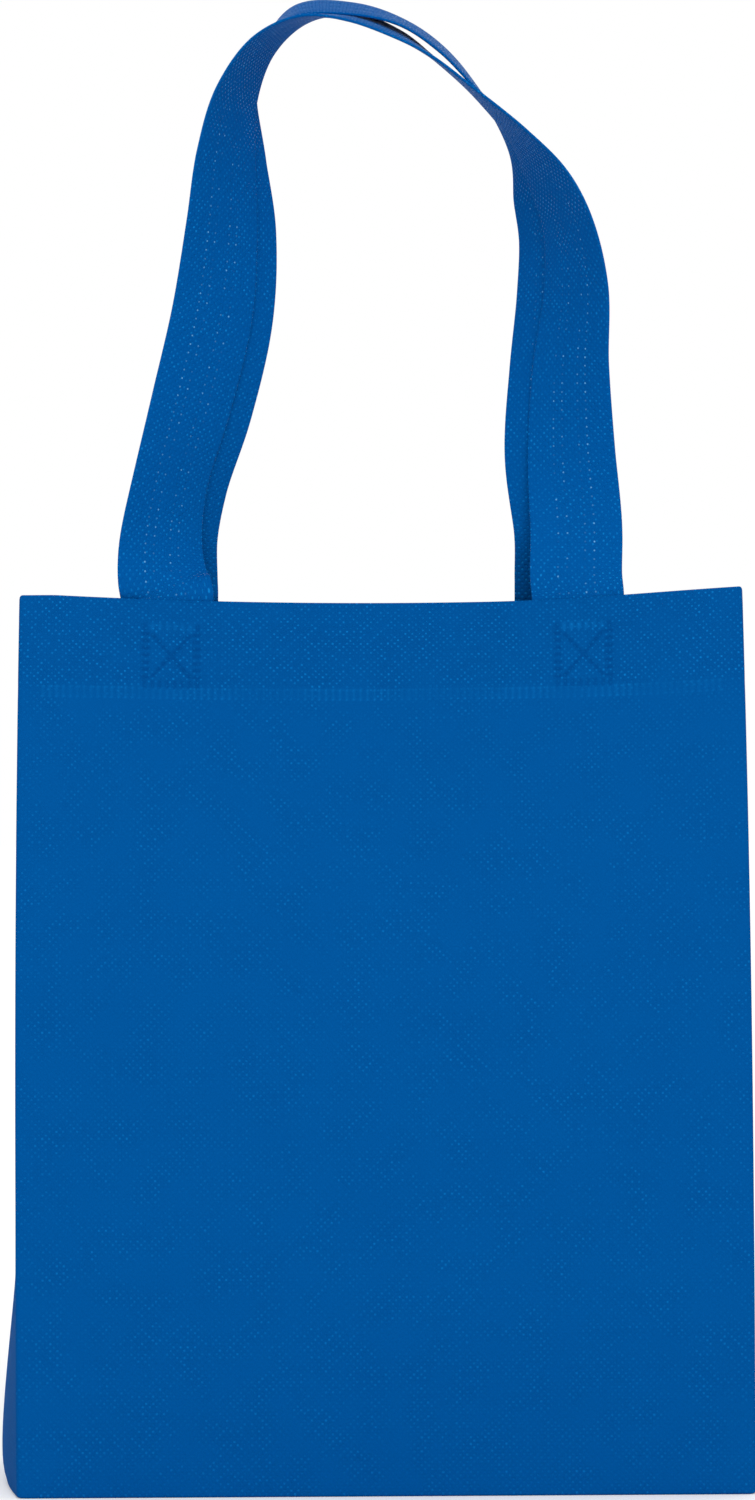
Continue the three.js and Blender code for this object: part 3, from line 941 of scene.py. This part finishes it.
@dataclass(frozen=True)
class Handle:
    """A strap made of a strip that is folded on itself and spot-welded along its length."""

    form: BagForm
    web: FoldedWeb
    place: HandlePlace
    width: float = 26 * MM
    thickness: float = 1.1 * MM
    edge_thickness: float = 0.8 * MM
    thin_start: float = 8 * MM  # from the middle line to where the strap starts to thin
    tail: float = 28 * MM
    clearance: float = 0.4 * MM
    exit_length: float = 2.5 * MM
    spot_radius: float = 0.4 * MM
    spot_depth: float = 0.14 * MM
    # painted shade of the pressed spots
    spot_shade: float = -0.4
    spot_edge: Ramp = (0.2, 1.5)  # in radii from its middle
    pinch: float = 0.05  # share of the thickness that is lost between the rows of spots
    pinch_middle: float = 3.8 * MM
    pinch_reach: float = 2.2 * MM
    foot_length: float = 13 * MM  # the lattice and its dots' painted highlight stand out most this near the mouth: painted light on the strap's feet
    foot_start: float = 3 * MM
    least_gleam: float = 0.45
    edge_steps: int = 4

    def end(self, x: float) -> Array:
        """The points of an end that lies inside the hem, from its cut edge to just past the top fold."""
        seat = self.form.hem_thickness + self.clearance + self.thickness / 2
        top = self.form.height
        along = np.array([top - self.tail, top - self.tail / 2, top, top + self.exit_length])
        same = (np.full(4, value) for value in (0, self.place.face.value, x))
        return self.web.panel(Points(*same, along, np.full(4, seat)))

    def free_stations(self) -> tuple[Array, Array]:
        """The places of the free stretch and its twist there."""
        _, mouth = self.web.profile.at(np.array([self.form.height]), np.zeros(1))
        left, right = FRONT_HANDLE.ends(self.form)
        middle, half = (left + right) / 2, (right - left) / 2
        places = np.array([(middle + s.x * half, s.y * MM, mouth[0] + s.rise * MM) for s in ROUTE])
        twist = np.radians([s.twist for s in ROUTE])
        if self.place.face is Face.FRONT:
            return places, twist
        tangents = np.gradient(places, axis=0)
        tangents[:, 1] = 0
        tangents /= np.linalg.norm(tangents, axis=1)[:, None]
        across, facing = strap_frame(tangents, twist)
        behind = np.array([self.thickness + s.gap * MM for s in ROUTE])[:, None]
        slip = np.array([s.slip * MM for s in ROUTE])[:, None]
        return places - facing * behind - across * slip, twist + np.radians([s.lead for s in ROUTE])

    def path(self) -> SmoothPath:
        """The middle line of the whole strap, with its twist."""
        left, right = (self.end(x) for x in self.place.ends(self.form))
        free, twist = self.free_stations()
        none = np.zeros(len(left))
        return SmoothPath(np.concatenate([left, free, right[::-1]]), np.concatenate([none, twist, none]))

    def section(self) -> tuple[Array, Array, Array]:
        """The strap's outline: place across it, side of it, and distance round it."""
        edge = self.thickness / 2
        flat_end = self.width / 2 - edge
        beside = [row + off * MM for row in SPOT_ROWS for off in (-1.2, -0.62, 0, 0.62, 1.2)]
        half = np.array([*beside, 7.1 * MM, 8.2 * MM, 9.8 * MM, 11.4 * MM, flat_end])
        across = np.unique(np.round(np.concatenate([-half, [0], half]), 6))
        turn = np.linspace(math.pi / 2, -math.pi / 2, 2 * self.edge_steps + 1)[1:-1]
        right_edge = flat_end + edge * np.cos(turn)
        face_x = np.concatenate([across, right_edge, across[::-1], -right_edge, across[:1]])
        one = np.ones(len(across))
        sides = np.concatenate([one, np.sin(turn), -one, -np.sin(turn), [1]])
        steps = np.hypot(np.diff(face_x), np.diff(sides) * edge)
        return face_x, sides, np.concatenate([[0], np.cumsum(steps)])

    def spots(self, across: Array, along: Array) -> Array:
        """How hard the spot-welds press each point, from 0 to 1."""
        off = (along / SPOT_PITCH - np.round(along / SPOT_PITCH)) * SPOT_PITCH
        apart = np.min([np.hypot(np.abs(across) - row, off) for row in SPOT_ROWS], axis=0)
        return 1 - smoothstep(*self.spot_edge, apart / self.spot_radius)

    def build(self, name: str) -> bpy.types.Object:
        """Makes the strap.

        Args:
            name: The name of the piece.

        Returns:
            The finished strap.
        """
        path = self.path()
        rows = round(path.length / (SPOT_PITCH / 4)) + 1
        section_x, section_side, section_around = self.section()
        bm = bmesh.new()
        add_grid(bm, len(section_x), rows)
        mesh = new_mesh(name, bm)
        flat = read_points(mesh)
        column = np.rint(flat[:, 0]).astype(int)
        along = flat[:, 1] / (rows - 1) * path.length
        face_x, sides = section_x[column], section_side[column]
        press = self.spots(face_x, along) * (np.abs(sides) > 0.99)
        middle = path.at(along)
        across, facing = strap_frame(path.tangents(along), middle[:, 3])
        lift = sides * self._half_thickness(face_x) - np.sign(sides) * press * self.spot_depth
        write_points(mesh, middle[:, :3] + across * face_x[:, None] + facing * lift[:, None])
        set_map(mesh, FABRIC_UV, np.stack([section_around[column], along], axis=1))
        set_map(mesh, STRAP_UV, np.stack([face_x, along], axis=1))
        # the pressed spots get a painted shade
        set_values(mesh, PAINTED_LIGHT, self.spot_shade * press)
        # the strap's feet are painted lighter, with their dots' painted highlight rising towards the mouth:
        # painted light
        from_end = np.minimum(along, path.length - along) - self.tail
        foot = 1 - smoothstep(self.foot_start, self.foot_length, from_end)
        set_values(mesh, LATTICE_GLEAM, self.least_gleam + (1 - self.least_gleam) * foot)
        LOG.info("%s: %.0f mm long", name, path.length / MM)
        bm = bmesh.new()
        bm.from_mesh(mesh)
        return finish(bm, mesh)

    def _half_thickness(self, face_x: Array) -> Array:
        """Half the strap's thickness across it: it is pinched at the spots and thin at the edges."""
        pinch = np.exp(-(((np.abs(face_x) - self.pinch_middle) / self.pinch_reach) ** 2))
        thin = smoothstep(self.thin_start, self.width / 2, np.abs(face_x))
        thin *= 1 - self.edge_thickness / self.thickness
        return self.thickness / 2 * (1 - self.pinch * pinch - thin)


@dataclass(frozen=True)
class Patches:
    """A noise that comes and goes in patches, 0 where it is under low and 1 where it is over high."""

    scale: float
    detail: float
    low: float
    high: float


class NodeGraph:
    """A node tree, with short ways to add the nodes that are used here."""

    def __init__(self, tree: bpy.types.NodeTree) -> None:
        """Empties the tree.

        Args:
            tree: The nodes of a material or of the world.
        """
        self.tree = tree
        tree.nodes.clear()

    @classmethod
    def of_material(cls, name: str) -> tuple[bpy.types.Material, NodeGraph]:
        """Makes a material, and gives it with its empty nodes."""
        material = bpy.data.materials.new(name)
        material.use_nodes = True
        return material, cls(material.node_tree)

    def add(
        self, kind: str, inputs: dict[int | str, object] | None = None, **values: object
    ) -> bpy.types.Node:
        """Adds a node.

        Args:
            kind: Its type.
            inputs: What its sockets are joined to, or the constants that they are set to.
            values: Its properties.

        Returns:
            The node.
        """
        node = self.tree.nodes.new(kind)
        for key, value in values.items():
            setattr(node, key, value)
        for key, value in (inputs or {}).items():
            if isinstance(value, Socket):
                self.tree.links.new(value, node.inputs[key])
            else:
                node.inputs[key].default_value = value
        return node

    def math(self, operation: str, first: object, second: object = 0.0) -> Socket:
        """Adds a Math node and gives its result."""
        return self.add("ShaderNodeMath", {0: first, 1: second}, operation=operation).outputs[0]

    def product(self, first: object, *others: object) -> Socket:
        """Multiplies numbers."""
        for other in others:
            first = self.math("MULTIPLY", first, other)
        return first

    def total(self, first: object, *others: object) -> Socket:
        """Adds numbers."""
        for other in others:
            first = self.math("ADD", first, other)
        return first

    def at_least(self, least: float, share: object) -> Socket:
        """Squeezes a share of 0 to 1 so that it starts at a least value."""
        return self.total(self.product(share, 1 - least), least)

    def step(self, value: object, low: float, high: float) -> Socket:
        """Rises smoothly from 0 at low to 1 at high."""
        inputs = {"Value": value, "From Min": low, "From Max": high}
        return self.add("ShaderNodeMapRange", inputs, interpolation_type="SMOOTHSTEP").outputs["Result"]

    def noise(self, vector: object, scale: float, detail: float = 2.0) -> Socket:
        """Adds a Noise Texture and gives its value."""
        inputs = {"Vector": vector, "Scale": scale, "Detail": detail}
        return self.add("ShaderNodeTexNoise", inputs).outputs["Fac"]

    def patches(self, vector: object, kind: Patches) -> Socket:
        """Adds a noise that comes and goes in patches."""
        return self.step(self.noise(vector, kind.scale, kind.detail), kind.low, kind.high)

    def mix(self, share: object, first: object, second: object) -> Socket:
        """Mixes two colours."""
        inputs = {"Factor": share, "A": first, "B": second}
        return self.add("ShaderNodeMix", inputs, data_type="RGBA").outputs["Result"]

    def attribute(self, name: str) -> Socket:
        """Reads an attribute of the mesh."""
        return self.add("ShaderNodeAttribute", attribute_name=name).outputs["Fac"]

    def uv_map(self, name: str) -> Socket:
        """Reads a map of the mesh."""
        return self.add("ShaderNodeUVMap", uv_map=name).outputs["UV"]


@dataclass(frozen=True)
class Pattern:
    """The sockets of the fabric's pattern, which its colour and its relief both follow."""

    place: Socket
    dots: Socket
    strength: Socket
    fibres: Socket


@dataclass(frozen=True)
class NonWoven:
    """Spun-bonded fabric: matt fibres pressed together by a lattice of small dots."""

    name: str
    colour: Colour = linear(0, 85, 156)
    # the painted highlight colour of the pressed dots and of the welds' bright bars
    highlight_colour: Colour = linear(12, 122, 200)
    # the fabric's darker tone, and the painted shade of the welds' dark bars
    deep_colour: Colour = linear(0, 66, 132)
    dot_share: float = 0.7  # how much of the painted highlight colour a pressed dot takes on
    ground_shade: float = 0.16  # how much darker the fabric is between the dots
    cloud_shade: float = 0.07
    grain_shade: float = 0.24
    lattice: float = 1.94 * MM  # between two dots of the same row
    zone_strength: float = 0.75
    zones: Patches = Patches(105.0, 3.0, 0.3, 0.7)  # where the lattice stands out
    clouds: Patches = Patches(42.0, 4.0, 0.3, 0.75)
    luck: Patches = Patches(520.0, 1.0, 0.35, 0.7)  # how strong each dot's painted highlight is
    least_luck: float = 0.1
    highlight_patches: Patches = Patches(60.0, 2.0, 0.4, 0.62)  # where the welds' painted highlight is stronger or weaker
    least_highlight: float = 0.45
    wander_scale: float = 90.0  # of the noise that shifts the lattice
    wander_reach: float = 2.0
    dot_edge: Ramp = (0.1, 0.9)
    fibre_scale: float = 3400.0
    fibre_detail: float = 3.0
    fibre_stretch: tuple[float, float, float] = (1.0, 0.6, 1.0)
    grain: Ramp = (0.34, 0.66)  # from the fibres that look light to the dark ones
    dot_relief: float = 0.12 * MM
    least_relief: float = 0.3
    fibre_relief: float = 0.035 * MM
    roughness: float = 0.7
    specular: float = 0.012
    sheen: float = 0.0
    sheen_roughness: float = 0.12
    sheen_tint: Colour = (0.62, 0.74, 1.0, 1.0)
    # how much painted highlight and painted shade the welds take
    weld_gleam: float = 0.55
    weld_shade: float = 0.6

    def build(self) -> bpy.types.Material:
        """Makes the material."""
        material, graph = NodeGraph.of_material(self.name)
        pattern = self._pattern(graph)
        inputs = {
            "Base Color": self._finish_colour(graph, self._colour(graph, pattern)),
            "Roughness": self.roughness,
            "Specular IOR Level": self.specular,
            "Sheen Weight": self.sheen,
            "Sheen Roughness": self.sheen_roughness,
            "Sheen Tint": self.sheen_tint,
            "Normal": self._relief(graph, pattern),
        }
        shader = graph.add("ShaderNodeBsdfPrincipled", inputs)
        graph.add("ShaderNodeOutputMaterial", {"Surface": shader.outputs["BSDF"]})
        return material

    def _pattern(self, graph: NodeGraph) -> Pattern:
        """Makes the lattice of dots, from 0 between them to 1 in their middles, and the fibres."""
        place = graph.uv_map(FABRIC_UV)
        wander = graph.product(graph.noise(place, self.wander_scale), self.wander_reach)
        parts = graph.add("ShaderNodeSeparateXYZ", {0: place}).outputs
        pace = 2 * math.pi / self.lattice
        across, along = (
            graph.math("COSINE", graph.total(graph.product(parts[k], pace), shift))
            for k, shift in ((0, wander), (1, 0.0))
        )
        dots = graph.step(graph.product(across, along), *self.dot_edge)
        zones = graph.product(graph.patches(place, self.zones), self.zone_strength)
        strength = graph.total(zones, graph.attribute(LATTICE_GLEAM))
        stretched = graph.add("ShaderNodeVectorMath", {0: place, 1: self.fibre_stretch}, operation="MULTIPLY")
        fibres = graph.noise(stretched.outputs[0], self.fibre_scale, self.fibre_detail)
        return Pattern(place, dots, strength, fibres)

    def _colour(self, graph: NodeGraph, pattern: Pattern) -> Socket:
        """The fabric's colour: cloudy fibres, pressed dots with a painted highlight, and welds with painted
        highlights and painted shade.
        """
        clouds = graph.product(graph.patches(pattern.place, self.clouds), self.cloud_shade)
        grain = graph.product(graph.step(pattern.fibres, *self.grain), self.grain_shade)
        shade = graph.total(clouds, grain, graph.product(pattern.strength, self.ground_shade))
        ground = graph.mix(shade, self.colour, self.deep_colour)
        # the pressed dots get a painted highlight, stronger where the lattice stands out
        luck = graph.at_least(self.least_luck, graph.patches(pattern.place, self.luck))
        gleam = graph.product(pattern.dots, pattern.strength, luck, self.dot_share)
        dotted = graph.mix(gleam, ground, self.highlight_colour)
        # the welds' painted highlight and painted shade, read from the mesh
        painted_light = graph.attribute(PAINTED_LIGHT)
        highlight_share = graph.at_least(self.least_highlight, graph.patches(pattern.place, self.highlight_patches))
        bright = graph.product(graph.math("MAXIMUM", painted_light, 0.0), highlight_share, self.weld_gleam)
        painted_weld_shade = graph.product(graph.math("MAXIMUM", graph.product(painted_light, -1.0), 0.0), self.weld_shade)
        return graph.mix(painted_weld_shade, graph.mix(bright, dotted, self.highlight_colour), self.deep_colour)

    def _finish_colour(self, graph: NodeGraph, colour: Socket) -> Socket:
        """What a kind of piece adds to the fabric's colour; here nothing."""
        return colour

    def _relief(self, graph: NodeGraph, pattern: Pattern) -> Socket:
        """The relief of the pressed dots and of the fibres between them."""
        height = graph.product(pattern.dots, graph.at_least(self.least_relief, pattern.strength))
        dents = {"Strength": 1.0, "Distance": self.dot_relief, "Height": height}
        normal = graph.add("ShaderNodeBump", dents, invert=True).outputs["Normal"]
        fluff = {"Strength": 1.0, "Distance": self.fibre_relief, "Height": pattern.fibres, "Normal": normal}
        return graph.add("ShaderNodeBump", fluff).outputs["Normal"]


@dataclass(frozen=True)
class StrapFabric(NonWoven):
    """The same fabric on a strap, with rows of small weld spots that carry a painted glint."""

    # the colour of the weld spots' painted glint
    spot_glint_colour: Colour = linear(96, 168, 222)
    spot_edge: Ramp = (0.102 * MM, 0.34 * MM)  # from its middle
    row_distance: float = 2.6 * MM
    outer_start: float = 3.8 * MM  # the spots of the row that lies further out get a brighter painted glint
    outer_glint: float = 0.35
    rareness: float = 2.5  # the power that leaves few spots with a bright painted glint

    def _finish_colour(self, graph: NodeGraph, colour: Socket) -> Socket:
        """Paints glints on the weld spots, some bright and some hardly to be seen."""
        parts = graph.add("ShaderNodeSeparateXYZ", {0: graph.uv_map(STRAP_UV)}).outputs
        aside = graph.math("ABSOLUTE", parts[0])
        offsets = [graph.math("SUBTRACT", aside, row) for row in SPOT_ROWS]
        nearest = graph.math("MINIMUM", *(graph.math("ABSOLUTE", offset) for offset in offsets))
        steps = graph.math("DIVIDE", parts[1], SPOT_PITCH)
        number = graph.math("ROUND", steps)
        off = graph.product(graph.math("SUBTRACT", steps, number), SPOT_PITCH)
        squares = [graph.math("POWER", distance, 2.0) for distance in (nearest, off)]
        far = graph.step(graph.math("SQRT", graph.total(*squares)), *self.spot_edge)
        row = graph.math("ROUND", graph.math("DIVIDE", parts[0], self.row_distance))
        cell = graph.add("ShaderNodeCombineXYZ", {0: row, 1: number}).outputs[0]
        luck = graph.add("ShaderNodeTexWhiteNoise", {"Vector": cell}, noise_dimensions="2D").outputs["Value"]
        outer = graph.math("GREATER_THAN", parts[0], self.outer_start)
        painted_light = graph.total(graph.math("POWER", luck, self.rareness), graph.product(outer, self.outer_glint))
        return graph.mix(graph.product(graph.math("SUBTRACT", 1.0, far), painted_light), colour, self.spot_glint_colour)


BODY_FABRIC = NonWoven("body_fabric")
HANDLE_FABRIC = StrapFabric(
    "handle_fabric",
    # the strap's fabric is painted a little lighter than the body's, with less darkening between its dots:
    # painted light
    colour=linear(0, 88, 163),
    dot_share=0.85,
    dot_relief=0.13 * MM,
    ground_shade=0.02,
    sheen=0.6,
)


@dataclass(frozen=True)
class PhotoCamera:
    """A camera as far away and as high as the photograph's, with its long lens."""

    distance: float = 1805 * MM
    aside: float = -1.2 * MM
    height: float = 205.4 * MM
    roll: float = math.radians(0.35)
    focal_px: float = 6384
    frame_px: float = 1500
    sensor: float = 36
    clip: tuple[float, float] = (0.05, 60)

    def build(self) -> None:
        """Makes the camera and makes it the scene's own."""
        data = bpy.data.cameras.new("camera")
        data.sensor_fit = "VERTICAL"
        data.sensor_height = self.sensor
        data.lens = self.focal_px / self.frame_px * self.sensor
        data.clip_start, data.clip_end = self.clip
        camera = bpy.data.objects.new("camera", data)
        camera.location = (self.aside, -self.distance, self.height)
        camera.rotation_euler = (math.pi / 2, self.roll, 0)
        bpy.context.scene.collection.objects.link(camera)
        bpy.context.scene.camera = camera


@dataclass(frozen=True)
class Lamp:
    """A broad lamp that is far away."""

    name: str
    strength: float
    rise: float  # degrees above the floor in front
    turn: float  # degrees about the bag, to the right of the camera
    spread: float  # degrees that it spans

    def build(self) -> None:
        """Makes the lamp."""
        data = bpy.data.lights.new(self.name, "SUN")
        data.energy = self.strength
        data.angle = math.radians(self.spread)
        lamp = bpy.data.objects.new(self.name, data)
        lamp.rotation_euler = (math.pi / 2 - math.radians(self.rise), 0, math.radians(self.turn))
        bpy.context.scene.collection.objects.link(lamp)


@dataclass(frozen=True)
class Studio:
    """A plain white room: pale floor, soft light from all round, and broad lights in front and overhead."""

    surround: float = 0.56
    lamps: tuple[Lamp, ...] = (Lamp("key", 1.36, 30, 3, 36), Lamp("top", 0.7, 104, 0, 50))
    floor_size: float = 24
    floor_lift: float = 0.22
    floor_shade: float = 0.86

    def build(self) -> None:
        """Makes the world, the lamps and the floor."""
        scene = bpy.context.scene
        scene.view_settings.view_transform = "Standard"
        self._world(scene)
        for lamp in self.lamps:
            lamp.build()
        self._floor(scene)

    def _world(self, scene: bpy.types.Scene) -> None:
        """White for the camera and for gloss, and softer as a light."""
        world = bpy.data.worlds.new("surround")
        world.use_nodes = True
        scene.world = world
        graph = NodeGraph(world.node_tree)
        path = graph.add("ShaderNodeLightPath").outputs
        seen = graph.math("MAXIMUM", path["Is Camera Ray"], path["Is Transmission Ray"])
        either = graph.math("MAXIMUM", seen, path["Is Glossy Ray"])
        level = graph.add("ShaderNodeMapRange", {"Value": either, "To Min": self.surround, "To Max": 1.0})
        white = {"Color": (1, 1, 1, 1), "Strength": level.outputs["Result"]}
        back = graph.add("ShaderNodeBackground", white)
        graph.add("ShaderNodeOutputWorld", {"Surface": back.outputs[0]})

    def _floor(self, scene: bpy.types.Scene) -> None:
        """A pale floor that fades into the white background and keeps the bag's shadow."""
        bm = bmesh.new()
        bmesh.ops.create_grid(bm, x_segments=1, y_segments=1, size=self.floor_size / 2)
        mesh = new_mesh("floor", bm)
        floor = bpy.data.objects.new("floor", mesh)
        scene.collection.objects.link(floor)
        material, graph = NodeGraph.of_material("pale_floor")
        shade = (self.floor_shade, self.floor_shade, self.floor_shade, 1)
        matt = graph.add("ShaderNodeBsdfDiffuse", {"Color": shade})
        seen = graph.add("ShaderNodeLightPath").outputs["Is Camera Ray"]
        glow = graph.add("ShaderNodeEmission", {"Strength": graph.product(seen, self.floor_lift)})
        both = graph.add("ShaderNodeAddShader", {0: matt.outputs[0], 1: glow.outputs[0]})
        graph.add("ShaderNodeOutputMaterial", {"Surface": both.outputs[0]})
        mesh.materials.append(material)


def dress(obj: bpy.types.Object, material: bpy.types.Material, node: str) -> None:
    """Gives a piece its material, hangs it under the root body and hides the CAD node that it stands for."""
    obj.data.materials.clear()
    obj.data.materials.append(material)
    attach(obj, "root")
    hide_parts(node)


def main() -> None:
    """Builds the bag, its handles and the studio."""
    logging.basicConfig(level=logging.INFO, format="%(message)s")
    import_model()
    form = BagForm()
    web = FoldedWeb(form)

    body = BagBody(form, web).build()
    dress(body, BODY_FABRIC.build(), "bag_body")

    strap_fabric = HANDLE_FABRIC.build()
    for name, place in (("front_strap", FRONT_HANDLE), ("back_strap", BACK_HANDLE)):
        strap = Handle(form, web, place).build(name)
        dress(strap, strap_fabric, name.replace("strap", "handle"))

    PhotoCamera().build()
    Studio().build()


if __name__ == "__main__":
    main()
